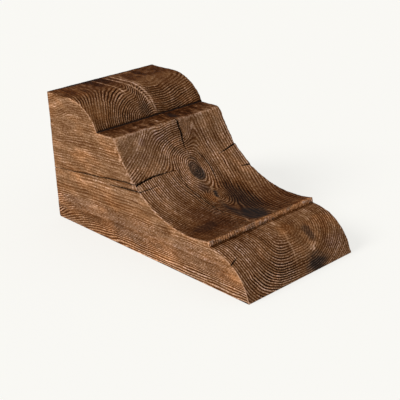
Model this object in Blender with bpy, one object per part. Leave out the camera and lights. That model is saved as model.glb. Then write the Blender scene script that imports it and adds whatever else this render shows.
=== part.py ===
"""A carved timber corbel, lying on the long flat back that goes against the wall.

Metres, +Z up. The origin is the centre of that back, +Z points straight out of it, and +X runs from the
square bearing end, which carries the beam or shelf, to the rounded nose at the thin end.
The moulded face is worked out in two coordinates: s runs along the profile from the bearing end's edge,
and t runs across the width from the near side, the one at -Y.
"""

import math
from bisect import bisect_right

import bpy
from mathutils import Vector

# The block, and the steps of its moulded face from the bearing end to the nose.
LENGTH = 0.390
WIDTH = 0.193
HEIGHT = 0.190
CROWN_LENGTH = 0.0515
OVOLO_LENGTH = 0.059
OVOLO_DROP = 0.037
LEDGE_DEPTH = 0.037
COVE_FLOOR = 0.057
COVE_UPTURN = 0.035
LIP_DROP = 0.0075
LIP_LEAN = 0.0015
NOSE_LENGTH = 0.0655

# How far each of the two quarter-rounds turns down from level.
OVOLO_SWEEP = math.radians(64.5)
NOSE_SWEEP = math.radians(79.0)

# Wear: the arris worn off each sharp edge, and the wider loss along the near side of cove and nose.
ARRIS = 0.0012
NEAR_WEAR = 0.0024
NEAR_WEAR_REACH = 0.0055
NEAR_WEAR_WAVE = 0.058
EDGE_FADE = 0.012

# The tree: where its pith runs along the block, and the broad bands of rings left standing by wear.
PITH_ACROSS = 0.105
PITH_HEIGHT = 0.135
RING_BAND = 0.0145
RING_RELIEF = 0.0011

# The knot in the cove: its centre on the face, its half sizes, and how deep it has shrunk.
KNOT_FROM_LEDGE = 0.073
KNOT_ACROSS = 0.102
KNOT_HALF_LENGTH = 0.017
KNOT_HALF_WIDTH = 0.011
KNOT_DEPTH = 0.0024

# Drying cracks: the wide and fine grooves, and how they are laid out in short wandering steps.
CRACK_WIDTH = 0.0022
CRACK_DEPTH = 0.0065
FINE_WIDTH = 0.0014
FINE_DEPTH = 0.0035
CRACK_STEP = 0.007
CRACK_WANDER = 0.0005
CRACK_TIP = 0.12
CUTTER_PROUD = 0.0015

# Cracks on the moulded face: (distance from the ledge's edge, distance in from the side it starts at).
NEAR_UPPER_CRACK = ((0.0675, -0.001), (0.0645, 0.028), (0.0675, 0.042), (0.0665, 0.070))
NEAR_LOWER_CRACK = ((0.0795, -0.001), (0.0800, 0.013), (0.0785, 0.033))
LEDGE_CRACK = ((-0.0025, 0.1085), (0.009, 0.1100), (0.016, 0.1085), (0.031, 0.1070), (0.044, 0.1055))
KNOT_CRACK = ((0.094, 0.1255), (0.082, 0.1275), (0.070, 0.1275), (0.054, 0.1225))
NOSE_CRACK = ((0.2635, -0.001), (0.2615, 0.006), (0.2600, 0.014))
FAR_UPPER_CRACK = ((0.0575, -0.001), (0.0605, 0.015), (0.0650, 0.037))
FAR_LOWER_CRACK = ((0.0965, -0.001), (0.0955, 0.010), (0.0945, 0.020))

# Where the cracks that turn down a side run out: (distance from the bearing end, height).
NEAR_SIDE_END = (-0.002, 0.0765)
NEAR_SIDE_LOW_END = (0.105, 0.0795)
FAR_SIDE_END = (0.055, 0.0880)
SIDE_CRACK_SAG = 0.0015

# The crack on the bearing end: (distance in from the near side, height).
BEARING_CRACK = ((-0.002, 0.0765), (0.018, 0.0800), (0.036, 0.0815), (0.058, 0.0870))

# Facets: the longest step along each stretch of the profile, and across the width.
ROUND_STEP = 0.0048
FLAT_STEP = 0.008
CROSS_STEP = 0.009

TIMBER_COLOUR = (0.16, 0.075, 0.035, 1.0)
TIMBER_ROUGHNESS = 0.72


def clear_scene():
    for obj in list(bpy.data.objects):
        bpy.data.objects.remove(obj)


def ease(x):
    """0 below 0, 1 above 1, and a smooth step between."""
    x = min(1.0, max(0.0, x))
    return x * x * (3.0 - 2.0 * x)


def straight(start, end, step):
    """Points after start up to end, no more than step apart."""
    start, end = Vector(start), Vector(end)
    count = max(1, math.ceil((end - start).length / step))
    return [tuple(start.lerp(end, i / count)) for i in range(1, count + 1)]


def quarter_round(start, end, sweep, step):
    """A convex arc that is level at start and has turned down by sweep at end."""
    run, drop = end[0] - start[0], start[1] - end[1]
    count = max(4, math.ceil(math.hypot(run, drop) / step))
    points = []
    for i in range(1, count + 1):
        turn = sweep * i / count
        x = start[0] + run * math.sin(turn) / math.sin(sweep)
        z = start[1] - drop * (1.0 - math.cos(turn)) / (1.0 - math.cos(sweep))
        points.append((x, z))
    return points


def cove(start, low, end_x, step):
    """A concave arc from start through its lowest point low, on to end_x."""
    run, drop = low[0] - start[0], start[1] - low[1]
    radius = (run * run + drop * drop) / (2.0 * drop)
    first = -math.atan2(run, radius - drop)
    last = math.asin((end_x - low[0]) / radius)
    count = max(6, math.ceil(radius * (last - first) / step))
    turns = [first + (last - first) * i / count for i in range(1, count + 1)]
    return [(low[0] + radius * math.sin(a), low[1] + radius * (1.0 - math.cos(a))) for a in turns]


class Profile:
    """The moulded face's section, from the bearing end's edge to the tip of the nose.

    ledge_s is the length along it at the ledge's outer edge.
    """

    def __init__(self):
        ledge_z = HEIGHT - OVOLO_DROP
        ovolo_end = (CROWN_LENGTH + OVOLO_LENGTH, ledge_z)
        ledge_edge = (ovolo_end[0] + LEDGE_DEPTH, ledge_z)
        lip_x = LENGTH - NOSE_LENGTH - LIP_LEAN
        low = (lip_x - COVE_UPTURN, COVE_FLOOR)

        points = [(0.0, HEIGHT - ARRIS), (ARRIS, HEIGHT)]
        points += straight(points[-1], (CROWN_LENGTH, HEIGHT), FLAT_STEP)
        points += quarter_round(points[-1], ovolo_end, OVOLO_SWEEP, ROUND_STEP)
        points += straight(points[-1], (ledge_edge[0] - ARRIS, ledge_z), FLAT_STEP)
        self.ledge_s = sum(math.dist(a, b) for a, b in zip(points, points[1:]))
        points += cove(ledge_edge, low, lip_x, ROUND_STEP)
        lip_z = points[-1][1]
        points[-1] = (lip_x - ARRIS, lip_z)
        points.append((lip_x, lip_z - ARRIS))
        points.append((lip_x + LIP_LEAN, lip_z - LIP_DROP))
        points += quarter_round(points[-1], (LENGTH, 0.0), NOSE_SWEEP, ROUND_STEP)

        self.points = [Vector((x - LENGTH / 2, z)) for x, z in points]
        self.lengths = [0.0]
        for a, b in zip(self.points, self.points[1:]):
            self.lengths.append(self.lengths[-1] + (b - a).length)
        self.total = self.lengths[-1]
        self.normals = [self.normal_of(i) for i in range(len(self.points))]

    def normal_of(self, i):
        """The outward normal at a point: square to the line between its neighbours."""
        last = len(self.points) - 1
        along = (self.points[min(last, i + 1)] - self.points[max(0, i - 1)]).normalized()
        return Vector((-along.y, along.x))

    def at(self, s):
        """The point and outward normal at length s, each as (x, z)."""
        s = min(self.total, max(0.0, s))
        i = min(len(self.points) - 2, max(0, bisect_right(self.lengths, s) - 1))
        share = (s - self.lengths[i]) / (self.lengths[i + 1] - self.lengths[i])
        point = self.points[i].lerp(self.points[i + 1], share)
        normal = self.normals[i].lerp(self.normals[i + 1], share).normalized()
        return point, normal


def on_face(profile, s, t):
    """The point on the moulded face at (s, t), and its outward normal."""
    point, normal = profile.at(s)
    return Vector((point.x, t - WIDTH / 2, point.y)), Vector((normal.x, 0.0, normal.y))


def worn_depth(profile, s, t):
    """How far wear has taken the surface below the true profile at (s, t)."""
    from_pith = math.hypot(t - PITH_ACROSS, profile.at(s)[0].y - PITH_HEIGHT)
    along = (s - profile.ledge_s - KNOT_FROM_LEDGE) / KNOT_HALF_LENGTH
    across = (t - KNOT_ACROSS) / KNOT_HALF_WIDTH
    from_knot = math.hypot(along, across)
    ring = min(from_pith, (KNOT_HALF_LENGTH + KNOT_HALF_WIDTH) / 2 * from_knot)
    depth = RING_RELIEF * (0.5 - 0.5 * math.cos(2 * math.pi * ring / RING_BAND))
    depth += KNOT_DEPTH * ease(1.4 - from_knot)

    near_edge = ease((s - profile.ledge_s) / EDGE_FADE) * (1.0 - ease(t / NEAR_WEAR_REACH))
    depth += NEAR_WEAR * near_edge * (0.6 + 0.4 * math.sin(2 * math.pi * s / NEAR_WEAR_WAVE))
    depth += ARRIS * (1.0 - ease(min(t, WIDTH - t) / ARRIS))
    return depth * ease(s / EDGE_FADE) * ease((profile.total - s) / EDGE_FADE)


def mesh_object(name, vertices, faces):
    mesh = bpy.data.meshes.new(name)
    mesh.from_pydata([tuple(v) for v in vertices], [], faces)
    mesh.update()
    obj = bpy.data.objects.new(name, mesh)
    bpy.context.collection.objects.link(obj)
    return obj


def make_corbel(profile, timber):
    """The solid block: a grid over the moulded face, closed by two flat sides, the back and the bearing end."""
    strips = max(4, round(WIDTH / CROSS_STEP))
    inner = [WIDTH * i / strips for i in range(1, strips)]
    across = [0.0, ARRIS, NEAR_WEAR_REACH]
    across += [t for t in inner if NEAR_WEAR_REACH * 1.3 < t < WIDTH - ARRIS * 2]
    across += [WIDTH - ARRIS, WIDTH]

    vertices, rows = [], []
    for s in profile.lengths:
        rows.append(range(len(vertices), len(vertices) + len(across)))
        for t in across:
            point, normal = on_face(profile, s, t)
            vertices.append(point - normal * worn_depth(profile, s, t))
    near_foot, far_foot = len(vertices), len(vertices) + 1
    vertices += [(-LENGTH / 2, -WIDTH / 2, 0.0), (-LENGTH / 2, WIDTH / 2, 0.0)]

    faces = []
    for a, b in zip(rows, rows[1:]):
        faces += [(a[j], b[j], b[j + 1], a[j + 1]) for j in range(len(across) - 1)]
    faces.append([near_foot, *[row[0] for row in reversed(rows)]])
    faces.append([far_foot, *[row[-1] for row in rows]])
    faces.append([near_foot, *rows[0], far_foot])
    faces.append([far_foot, *reversed(rows[-1]), near_foot])

    corbel = mesh_object("corbel", vertices, faces)
    corbel.data.shade_smooth()
    corbel.data.set_sharp_from_angle(angle=math.radians(35))
    corbel.data.materials.append(timber)
    return corbel


def wander(points):
    """A path through 2-D points, in steps of about CRACK_STEP that stray a little from straight."""
    path = [points[0]]
    for a, b in zip(points, points[1:]):
        gap = math.dist(a, b)
        count = max(1, round(gap / CRACK_STEP))
        square = ((a[1] - b[1]) / gap, (b[0] - a[0]) / gap)
        for i in range(1, count + 1):
            share = i / count
            stray = 0.0 if i == count else CRACK_WANDER * math.sin(7.0 * len(path))
            path.append((
                a[0] + (b[0] - a[0]) * share + square[0] * stray,
                a[1] + (b[1] - a[1]) * share + square[1] * stray,
            ))
    return path


def cut_crack(corbel, name, path, width, depth):
    """Cuts a V-shaped groove along path, a list of (point, outward normal), narrowing to its far end."""
    vertices, faces = [], []
    last = len(path) - 1
    for i, (point, normal) in enumerate(path):
        along = (path[min(last, i + 1)][0] - path[max(0, i - 1)][0]).normalized()
        side = along.cross(normal).normalized()
        share = max(CRACK_TIP, min(1.0, 1.6 * (1.0 - i / last)))
        foot = depth * share
        half = width * share / 2 * (foot + CUTTER_PROUD) / foot
        top = point + normal * CUTTER_PROUD
        vertices += [top - side * half, top + side * half, point - normal * foot]
    for i in range(last):
        a, b = 3 * i, 3 * i + 3
        for j in range(3):
            k = (j + 1) % 3
            faces.append((a + j, a + k, b + k, b + j))
    faces.append((2, 1, 0))
    faces.append((3 * last, 3 * last + 1, 3 * last + 2))

    cutter = mesh_object(name + "_cutter", vertices, faces)
    cutter.hide_render = True
    cutter.display_type = "WIRE"
    cut = corbel.modifiers.new(name, "BOOLEAN")
    cut.operation = "DIFFERENCE"
    cut.solver = "EXACT"
    cut.object = cutter


def face_path(profile, points, from_far=False):
    """A crack's path over the moulded face."""
    path = []
    for from_ledge, inwards in wander(points):
        t = WIDTH - inwards if from_far else inwards
        path.append(on_face(profile, profile.ledge_s + from_ledge, t))
    return path


def side_path(profile, from_ledge, end, side):
    """A crack's path down one side, from where it crosses the moulded face's edge to end."""
    edge = profile.at(profile.ledge_s + from_ledge)[0]
    start = (edge.x + CUTTER_PROUD, edge.y)
    end = (end[0] - LENGTH / 2, end[1])
    middle = ((start[0] + end[0]) / 2, (start[1] + end[1]) / 2 + SIDE_CRACK_SAG)
    outward = Vector((0.0, side, 0.0))
    return [(Vector((x, side * WIDTH / 2, z)), outward) for x, z in wander([start, middle, end])]


def cut_cracks(corbel, profile):
    wide = (CRACK_WIDTH, CRACK_DEPTH)
    fine = (FINE_WIDTH, FINE_DEPTH)
    cut_crack(corbel, "near_upper", face_path(profile, NEAR_UPPER_CRACK), *wide)
    cut_crack(corbel, "near_lower", face_path(profile, NEAR_LOWER_CRACK), *fine)
    cut_crack(corbel, "ledge", face_path(profile, LEDGE_CRACK), *fine)
    cut_crack(corbel, "knot", face_path(profile, KNOT_CRACK), *fine)
    cut_crack(corbel, "nose", face_path(profile, NOSE_CRACK), *fine)
    cut_crack(corbel, "far_upper", face_path(profile, FAR_UPPER_CRACK, from_far=True), *wide)
    cut_crack(corbel, "far_lower", face_path(profile, FAR_LOWER_CRACK, from_far=True), *wide)

    cut_crack(corbel, "near_side", side_path(profile, NEAR_UPPER_CRACK[0][0], NEAR_SIDE_END, -1), *wide)
    cut_crack(corbel, "near_side_low", side_path(profile, NEAR_LOWER_CRACK[0][0], NEAR_SIDE_LOW_END, -1), *wide)
    cut_crack(corbel, "far_side", side_path(profile, FAR_UPPER_CRACK[0][0], FAR_SIDE_END, 1), *wide)

    outward = Vector((-1.0, 0.0, 0.0))
    bearing = [(Vector((-LENGTH / 2, t - WIDTH / 2, z)), outward) for t, z in wander(BEARING_CRACK)]
    cut_crack(corbel, "bearing_end", bearing, *wide)


def make_timber():
    material = bpy.data.materials.new("timber")
    material.use_nodes = True
    shader = material.node_tree.nodes["Principled BSDF"]
    shader.inputs["Base Color"].default_value = TIMBER_COLOUR
    shader.inputs["Roughness"].default_value = TIMBER_ROUGHNESS
    shader.inputs["Metallic"].default_value = 0.0
    return material


def main():
    clear_scene()
    profile = Profile()
    corbel = make_corbel(profile, make_timber())
    cut_cracks(corbel, profile)


main()
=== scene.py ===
"""How the corbel looks: one finely carved block of timber that stands for the CAD solid, on a pale floor.

Each face of the block has two coordinates of its own, in millimetres. The moulded face uses s, the length
along its profile from the bearing end, and t, the distance in from the near side (the one at -Y). The sides
use x and z, the bearing end t and z, and the back x and t, with x from the bearing end and z from the back.
The growth rings are a phase that rises by one from ring to ring. The mesh is carved along its ring lines,
and the material's colours follow the same phase.
"""

import math
from dataclasses import dataclass
from typing import Callable

import bpy
import numpy as np
from mathutils import Euler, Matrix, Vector
from mathutils.geometry import delaunay_2d_cdt


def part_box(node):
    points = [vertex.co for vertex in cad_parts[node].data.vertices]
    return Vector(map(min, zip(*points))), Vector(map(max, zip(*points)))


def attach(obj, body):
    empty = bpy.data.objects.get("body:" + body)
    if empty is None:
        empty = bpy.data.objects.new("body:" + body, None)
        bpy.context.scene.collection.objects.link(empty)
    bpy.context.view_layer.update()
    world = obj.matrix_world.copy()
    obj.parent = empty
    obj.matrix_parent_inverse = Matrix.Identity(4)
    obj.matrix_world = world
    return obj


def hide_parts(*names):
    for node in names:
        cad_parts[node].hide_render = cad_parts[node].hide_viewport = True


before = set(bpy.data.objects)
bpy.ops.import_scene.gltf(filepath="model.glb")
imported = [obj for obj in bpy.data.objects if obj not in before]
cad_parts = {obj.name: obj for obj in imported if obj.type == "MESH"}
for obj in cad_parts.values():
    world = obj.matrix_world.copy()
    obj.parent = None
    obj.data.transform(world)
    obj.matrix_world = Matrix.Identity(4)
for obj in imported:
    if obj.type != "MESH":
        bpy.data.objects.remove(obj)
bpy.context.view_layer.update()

MM = 0.001
CAD_LOW, CAD_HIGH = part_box("corbel")
LENGTH, WIDTH, HEIGHT = ((CAD_HIGH[i] - CAD_LOW[i]) / MM for i in range(3))

# The moulded face's profile, in millimetres, with the same steps as the solid.
CROWN_LENGTH = 51.5
OVOLO_LENGTH = 59
OVOLO_DROP = 37
LEDGE_DEPTH = 37
COVE_FLOOR = 57
COVE_UPTURN = 35
LIP_DROP = 7.5
LIP_LEAN = 1.5
NOSE_LENGTH = 65.5
OVOLO_SWEEP = math.radians(64.5)
NOSE_SWEEP = math.radians(79)
PROFILE_STEP = 0.25

# Mesh spacing, along the first and second coordinate of each face.
FINE = (1.22, 1.10)
ALONG_GRAIN = (2.1, 1.08)
SIDE_MESH = (3.1, 1.45)
END_MESH = (2.4, 2.4)
BACK_MESH = (4.4, 4.4)
SEAM_STEP = 1.1
POST_STEP = 1.6
FOOT_STEP = 3
CRACK_STEP = 1.25
# How far mesh points may move onto a ring line, and how far they stay from borders, cracks and each other.
MOULDED_SHIFT, SIDE_SHIFT, END_SHIFT = 0.6, 0.75, 0.9
MOULDED_MARGIN, SIDE_MARGIN, END_MARGIN, BACK_MARGIN = 0.5, 0.8, 1, 1.5
PROFILE_MARGIN = 1.1
CRACK_MARGIN = 0.75
CRACK_END_MARGIN = 0.55
CRACK_GAP = 0.4
SEAM_GAP = 0.6
RIM = 1
SMOOTH_ANGLE = math.radians(78)
# For the triangulation: keep what lies inside the outline, and how near counts as the same point.
INSIDE_ONLY, NEARNESS = 1, 1e-5

# Growth rings: their width on each face, and how deep wear has cut between them.
RING = 3.5
OVOLO_RING = 3.1
UPPER_OVOLO_RING = 4.3
LIP_RING = 3
NOSE_RING = 3.5
SIDE_RING = 4.1
END_RING = 4.6
BACK_RING = 5
RING_DEPTH = 0.62
SIDE_RING_DEPTH = 0.30
STEPS_PER_RING = 3
WANDER_SIZE = 34
WANDER_REACH = 1.3

# The pith and the two knots, as (s, t) on the moulded face.
OVOLO_PITH = (121, 96)
OVOLO_PITH_HEIGHT = 150
END_PITH_HEIGHT = 118
KNOT = (236, 103)
KNOT_EYE = (239, 103.5)
SMALL_KNOT = (288, 101)
SMALL_KNOT_HOLE = (286, 101)
NOSE_PITH = (400, 107)

# Noise seeds. Two faces that meet read the same wear along their shared edge, so the sides' seeds name it.
NEAR, FAR = 31, 32
ARRIS_SEED = 40
POST_SEED = 5
TOP_EDGE_SEED = 73
PATCH_SEED = 7


def ease(x):
    """0 below 0, 1 above 1, and a smooth step between."""
    x = np.clip(x, 0, 1)
    return x * x * (3 - 2 * x)


def between(x, start, end, soft):
    """1 from start to end, easing to 0 over soft on either side."""
    return ease((x - start) / soft + 0.5) * ease((end - x) / soft + 0.5)


def corner_value(i, j, seed):
    """A repeatable value from -1 to 1 for each pair of whole numbers."""
    n = (i * 73856093) ^ (j * 19349663) ^ (seed * 83492791)
    n = ((n ^ (n >> 13)) * 1274126177) & 0x7FFFFFFF
    return ((n ^ (n >> 15)) & 0xFFFF) / 32767.5 - 1


def noise(u, v, size_u, size_v, seed):
    """Smooth noise from -1 to 1, with cells size_u by size_v."""
    u, v = u / size_u, v / size_v
    i, j = np.floor(u).astype(np.int64), np.floor(v).astype(np.int64)
    a, b = ease(u - i), ease(v - j)
    low = corner_value(i, j, seed) * (1 - a) + corner_value(i + 1, j, seed) * a
    high = corner_value(i, j + 1, seed) * (1 - a) + corner_value(i + 1, j + 1, seed) * a
    return low * (1 - b) + high * b


def mottle(u, v, size_u, size_v, seed):
    """Three sizes of noise added together, roughly from -1 to 1."""
    total = noise(u, v, size_u, size_v, seed)
    total = total + 0.5 * noise(u, v, size_u / 2.1, size_v / 2.1, seed + 1)
    total = total + 0.25 * noise(u, v, size_u / 4.3, size_v / 4.3, seed + 2)
    return total / 1.4


def to_path(u, v, path):
    """Each point's distance from a path of straight runs, and the nearest place's share of the way along."""
    path = np.asarray(path, float)
    runs = np.hypot(*np.diff(path, axis=0).T)
    starts = np.concatenate([[0], np.cumsum(runs)])
    nearest = np.full(np.shape(u), np.inf)
    along = np.zeros(np.shape(u))
    for a, b, run, start in zip(path, path[1:], runs, starts):
        share = np.clip(((u - a[0]) * (b[0] - a[0]) + (v - a[1]) * (b[1] - a[1])) / run**2, 0, 1)
        gap = np.hypot(u - a[0] - share * (b[0] - a[0]), v - a[1] - share * (b[1] - a[1]))
        closer = gap < nearest
        nearest = np.where(closer, gap, nearest)
        along = np.where(closer, (start + share * run) / starts[-1], along)
    return nearest, along


def patch(u, v, at_u, at_v, half_u, half_v, rough=0.35):
    """A soft blob, 1 at its centre and 0 outside, with an uneven edge."""
    gap = np.hypot((u - at_u) / half_u, (v - at_v) / half_v)
    return ease(1.35 - gap + rough * mottle(u, v, half_u * 0.5, half_v * 0.5, PATCH_SEED))


def patches(u, v, table):
    """The sum of soft blobs, each with its strength."""
    return sum(strength * patch(u, v, *where) for *where, strength in table)


def bump(x, centre, half):
    """A smooth rise about centre, 1 in the middle."""
    return np.exp(-(((x - centre) / half) ** 2))


def streak(u, v, path, width):
    """A soft-edged line along a path, 1 in the middle."""
    gap, along = to_path(u, v, path)
    return bump(gap, 0, width) * ease(along * 8) * ease((1 - along) * 8)


def leftwards(path):
    """Unit vectors square to a path, on its left."""
    along = np.gradient(path, axis=0)
    along /= np.hypot(*along.T)[:, None]
    return np.stack([-along[:, 1], along[:, 0]], 1)


class Profile:
    """The moulded face's section, as closely spaced points with outward normals."""

    def __init__(self):
        ledge_z = HEIGHT - OVOLO_DROP
        ovolo_end = CROWN_LENGTH + OVOLO_LENGTH
        ledge_end = ovolo_end + LEDGE_DEPTH
        lip_x = LENGTH - NOSE_LENGTH - LIP_LEAN
        low_x = lip_x - COVE_UPTURN
        cove, lip_z = self.hollow((ledge_end, ledge_z), (low_x, COVE_FLOOR), lip_x)
        nose_top = (lip_x + LIP_LEAN, lip_z - LIP_DROP)
        runs = [
            self.straight((0, HEIGHT), (CROWN_LENGTH, HEIGHT)),
            self.quarter_round((CROWN_LENGTH, HEIGHT), (ovolo_end, ledge_z), OVOLO_SWEEP),
            self.straight((ovolo_end, ledge_z), (ledge_end, ledge_z)),
            cove,
            self.straight((lip_x, lip_z), nose_top),
            self.quarter_round(nose_top, (LENGTH, 0), NOSE_SWEEP),
        ]
        points, normals, joins = runs[0], leftwards(runs[0]), []
        for run in runs[1:]:
            joins.append(len(points) - 1)
            more = leftwards(run)
            normals[-1] += more[0]
            points = np.concatenate([points, run[1:]])
            normals = np.concatenate([normals, more[1:]])
        self.x, self.z = points.T
        self.normal_x, self.normal_z = (normals / np.hypot(*normals.T)[:, None]).T
        self.s = np.concatenate([[0], np.cumsum(np.hypot(*np.diff(points, axis=0).T))])
        self.marks = self.s[joins]

    @staticmethod
    def count(length):
        return max(4, math.ceil(length / PROFILE_STEP)) + 1

    def straight(self, start, end):
        share = np.linspace(0, 1, self.count(math.dist(start, end)))[:, None]
        return np.array(start) * (1 - share) + np.array(end) * share

    def quarter_round(self, start, end, sweep):
        """A convex arc, level at start."""
        run, drop = end[0] - start[0], start[1] - end[1]
        turn = np.linspace(0, sweep, self.count(math.hypot(run, drop)))
        x = start[0] + run * np.sin(turn) / math.sin(sweep)
        z = start[1] - drop * (1 - np.cos(turn)) / (1 - math.cos(sweep))
        return np.stack([x, z], 1)

    def hollow(self, start, low, end_x):
        """A concave arc from start through its lowest point low to end_x, and the height where it ends."""
        run, drop = low[0] - start[0], start[1] - low[1]
        radius = (run * run + drop * drop) / (2 * drop)
        first, last = -math.atan2(run, radius - drop), math.asin((end_x - low[0]) / radius)
        turn = np.linspace(first, last, self.count(radius * (last - first)))
        arc = np.stack([low[0] + radius * np.sin(turn), low[1] + radius * (1 - np.cos(turn))], 1)
        return arc, arc[-1, 1]

    def at(self, s):
        """x, z and the outward normal's x and z at each s."""
        return [np.interp(s, self.s, values) for values in (self.x, self.z, self.normal_x, self.normal_z)]

    def s_at(self, x):
        return np.interp(x, self.x, self.s)


PROFILE = Profile()
# Where the profile's stretches meet, as s.
CROWN_END, OVOLO_FOOT, LEDGE_EDGE, LIP_EDGE, LIP_FOOT = PROFILE.marks
CREASES = [OVOLO_FOOT, LEDGE_EDGE, LIP_EDGE, LIP_FOOT]
TIP = PROFILE.s[-1]


# Growth rings

def wander(u, v, seed):
    """The slow and quick waviness that the ring lines share."""
    quick = noise(u, v, WANDER_SIZE / 4, WANDER_SIZE / 4, seed + 5)
    return WANDER_REACH * mottle(u, v, WANDER_SIZE, WANDER_SIZE, seed) + 0.35 * WANDER_REACH * quick


def by_stretch(s, ovolo, ledge, cove, lip, nose):
    """The value for the stretch of the profile that each s is on; the crown counts with the ovolo."""
    return np.select([s < crease for crease in CREASES], [ovolo, ledge, cove, lip], nose)


def moulded_rings(s, t):
    """The ring phase over the moulded face."""
    wavy = wander(s, t, 11)
    ovolo = ovolo_rings(s, t, PROFILE.at(s)[1], wavy)
    return by_stretch(
        s, ovolo, ledge_rings(s, t, wavy), cove_rings(s, t, wavy), lip_rings(s, t), nose_rings(s, t, wavy)
    )


def ovolo_rings(s, t, z, wavy):
    """Bowls that close below the pith, and lines that lean back above it."""
    drop = 1.25 * np.maximum(z - OVOLO_PITH_HEIGHT + 0.15 * (OVOLO_PITH[0] - s), 0)
    below = 0.95 * np.maximum(OVOLO_PITH[1] - 6 - t, 0)
    bend = 2.3
    lower = (drop**bend + below**bend + 12) ** (1 / bend) / OVOLO_RING
    above = t - 131
    lean = np.where(above < 0, 0.012 * above**2, 0.30 * (np.hypot(above, 9) - 9))
    upper = (1.35 * (z - OVOLO_PITH_HEIGHT) + 0.25 * (OVOLO_PITH[0] - s) - lean) / UPPER_OVOLO_RING
    side = ease((OVOLO_PITH[1] + 14 - t) / 26)
    return lower * side + upper * (1 - side) + 1.3 * wavy / OVOLO_RING


def ledge_rings(s, t, wavy):
    return (np.hypot(t - OVOLO_PITH[1], 9) + 1.5 * wavy + 0.12 * (s - OVOLO_FOOT)) / RING


def cove_rings(s, t, wavy):
    """Long ovals round the knot, drawn out towards the lip, with a small knot set in them."""
    across = t - KNOT[1]
    across = across - 0.25 * np.maximum(across - 36, 0)
    beyond = np.maximum(s - KNOT[0], 0)
    before = np.maximum(KNOT[0] - s, 0)
    before = 0.58 * before + 0.34 * (np.hypot(before - 22, 5) + before - 22 - 0.55)
    before = before * (1 - 0.78 * ease((t - 106) / 36))
    along = np.where(s < KNOT[0], before, 34 * (1 - np.exp(-beyond / 40)) + 0.03 * beyond)
    blunt = along * (1 - 0.62 * ease((s - 255) / 90))
    trunk = np.hypot(across, blunt) + along - blunt
    corner = (s < NEAR_UPPER_S - 1.6) * ease((80 - t) / 28)
    trunk = trunk * (1 - corner) + (236 - np.hypot(s - 70, t + 70)) * corner
    calm = ease((trunk - 6) / 26)
    trunk = trunk + wavy * (0.35 + 0.65 * calm)
    branch = 9 + 1.05 * np.hypot((s - SMALL_KNOT[0]) / 1.25, t - SMALL_KNOT[1])
    soft = 2
    share = np.clip(0.5 + 0.5 * (branch - trunk) / soft, 0, 1)
    nearest = branch * (1 - share) + trunk * share - soft * share * (1 - share)
    return nearest / RING + 3.2 * np.tanh(nearest / 16)


def lip_rings(s, t):
    return (t + 0.6 * s) / LIP_RING


def nose_rings(s, t, wavy):
    """Half circles that open towards the lip, with a tighter bend and straighter lines on the near side."""
    along = np.maximum(s - NOSE_PITH[0], 0)
    along = 0.92 * (along + 0.0028 * along**2)
    across = np.hypot(t - NOSE_PITH[1], 5)
    bend = 2 + 1.5 * ease((NOSE_PITH[1] - t) / 34)
    return ((across**bend + along**bend) ** (1 / bend) + 1.3 * wavy) / NOSE_RING + 0.9


def side_rings(x, z, seed):
    """Long lines, wider apart at half height, that climb away from the bearing end's foot."""
    wavy = 2.6 * mottle(x, z, 95, 24, seed) + 1.1 * noise(x, z, 24, 8, seed + 7)
    climb = 15 * (1 - np.exp(-x / 110)) + 28 * (1 - np.exp(-x / 70)) * ease((52 - z) / 40)
    curl = 16 * ease((60 - x) / 60) * ease((z - 120) / 50)
    line = z - climb + curl + wavy
    low, high = np.minimum(line - 38, 0), np.maximum(line - 104, 0)
    return line / SIDE_RING + 0.045 * low + 0.045 * high


def end_rings(t, z):
    """End grain: circles about the pith."""
    return (np.hypot(t - OVOLO_PITH[1], 1.1 * (z - END_PITH_HEIGHT)) + wander(t, z, 51)) / END_RING


def back_rings(x, t):
    return (np.hypot(t - OVOLO_PITH[1], 26) + 2.2 * mottle(x, t, 120, 22, 61)) / BACK_RING


def ridge(phase):
    """The worn ring's section: 0 in the groove, 1 over the ridge."""
    return np.minimum(1, 1.45 * np.sin(np.pi * (phase % 1)) ** 1.5)


# Cracks, each with the share of its full size that is left at its first and at its last point.

@dataclass
class Crack:
    path: list
    width: float
    depth: float
    first: float = 1
    last: float = 0.18
    # How dark the crack's painted shade is.
    dark: float = 1
    stray: float = 0.35

    def jagged(self):
        """The path in short steps that stray a little, as torn fibres do."""
        path = [self.path[0]]
        for a, b in zip(self.path, self.path[1:]):
            gap = math.dist(a, b)
            count = max(1, round(gap / CRACK_STEP))
            for i in range(1, count + 1):
                off = self.stray * math.sin(2.1 * len(path)) * math.cos(0.83 * len(path))
                off = off if i < count else 0
                share = i / count
                path.append((
                    a[0] + (b[0] - a[0]) * share - (b[1] - a[1]) / gap * off,
                    a[1] + (b[1] - a[1]) * share + (b[0] - a[0]) / gap * off,
                ))
        return np.array(path)

    def share_at(self, along):
        """How much of its full size the crack has, part of the way along."""
        opening = np.minimum(1, self.first + 2.5 * along)
        return opening * np.minimum(1, self.last + 1.5 * (1 - along))

    def openness(self, u, v, reach=0):
        """1 along the crack's middle, 0 past its rims (or past them by reach)."""
        gap, along = to_path(u, v, self.jagged())
        share = self.share_at(along)
        return np.clip(1 - gap / (self.width / 2 * share + reach), 0, 1) * share

    def mesh_points(self):
        """Points down the middle and along both rims."""
        path = self.jagged()
        share = self.share_at(np.linspace(0, 1, len(path)))[:, None]
        rim = leftwards(path) * self.width / 2 * share
        return np.concatenate([path, path + rim, path - rim])


def far(points):
    """Points with their distances in from the far side turned into t."""
    return [(s, WIDTH - inwards) for s, inwards in points]


# Where cracks cross the long edges, as s, and the upright edge at the bearing end, as z.
NEAR_UPPER_S, NEAR_LOWER_S, NOSE_CRACK_S = 229.6, 241, 425
FAR_UPPER_S, FAR_LOWER_S = 219.6, 258.6
POST_CRACK_Z = 76

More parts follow.
